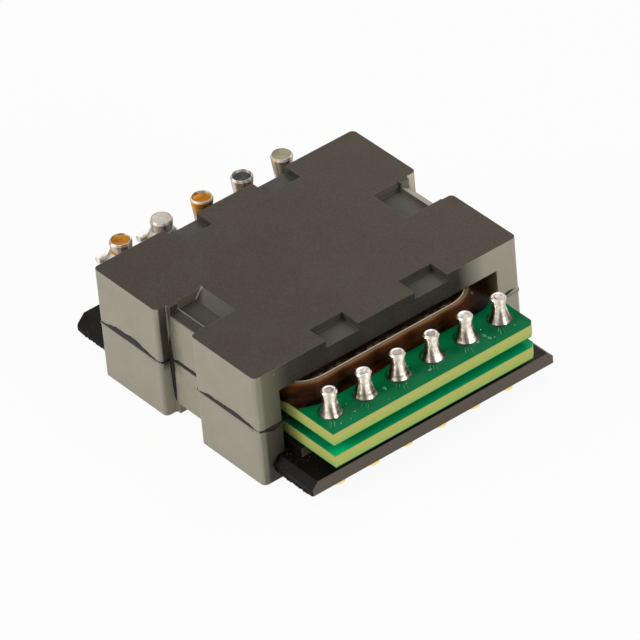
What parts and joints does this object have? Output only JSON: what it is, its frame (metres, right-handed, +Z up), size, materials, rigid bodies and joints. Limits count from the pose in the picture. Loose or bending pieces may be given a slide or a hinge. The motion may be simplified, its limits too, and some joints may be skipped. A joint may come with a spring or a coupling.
{
  "type": "pcb transformer",
  "caption": "Low surface-mount planar transformer: a flat ferrite core round stacked boards and windings, on a moulded header with turned pins along its long sides.",
  "frame": {"origin": "centre of the whole outline on the mounting plane, level with the undersides of the pin feet", "axes": "+X towards the row of pins soldered to the boards, +Y along the pin rows, +Z up through the core"},
  "size_m": [0.0308, 0.0266, 0.0105],
  "materials": {
    "ferrite": "matt sintered ceramic, ground flat",
    "glue": "dark glossy epoxy",
    "moulding": "black moulded resin, slightly glossy",
    "laminate": "green solder mask, glossy",
    "film": "translucent amber film",
    "winding": "varnished dark brown winding",
    "pin": "tinned turned pin with gold flash at the foot",
    "copper": "tinned copper land",
    "solder": "bright tin solder",
    "wire": "tinned wire"
  },
  "bodies": {
    "root": {"upper_core": "ferrite", "lower_core": "ferrite", "glue_minus_y": "glue", "glue_plus_y": "glue", "header": "moulding", "upper_board": "laminate", "lower_board": "laminate", "middle_lower_film": "film", "middle_upper_film": "film", "top_film": "film", "coil_wrap": "film", "middle_coil": "winding", "upper_coil": "winding", "front_pin_1": "pin", "front_land_1": "copper", "front_solder_1": "solder", "front_pin_2": "pin", "front_land_2": "copper", "front_solder_2": "solder", "front_pin_3": "pin", "front_land_3": "copper", "front_solder_3": "solder", "front_pin_4": "pin", "front_land_4": "copper", "front_solder_4": "solder", "front_pin_5": "pin", "front_land_5": "copper", "front_solder_5": "solder", "front_pin_6": "pin", "front_land_6": "copper", "front_solder_6": "solder", "back_pin_1": "pin", "back_pin_2": "pin", "back_pin_3": "pin", "back_pin_4": "pin", "back_pin_5": "pin", "start_lead": "wire", "start_solder": "solder", "finish_lead": "wire", "finish_solder": "solder"}
  },
  "joints": []
}
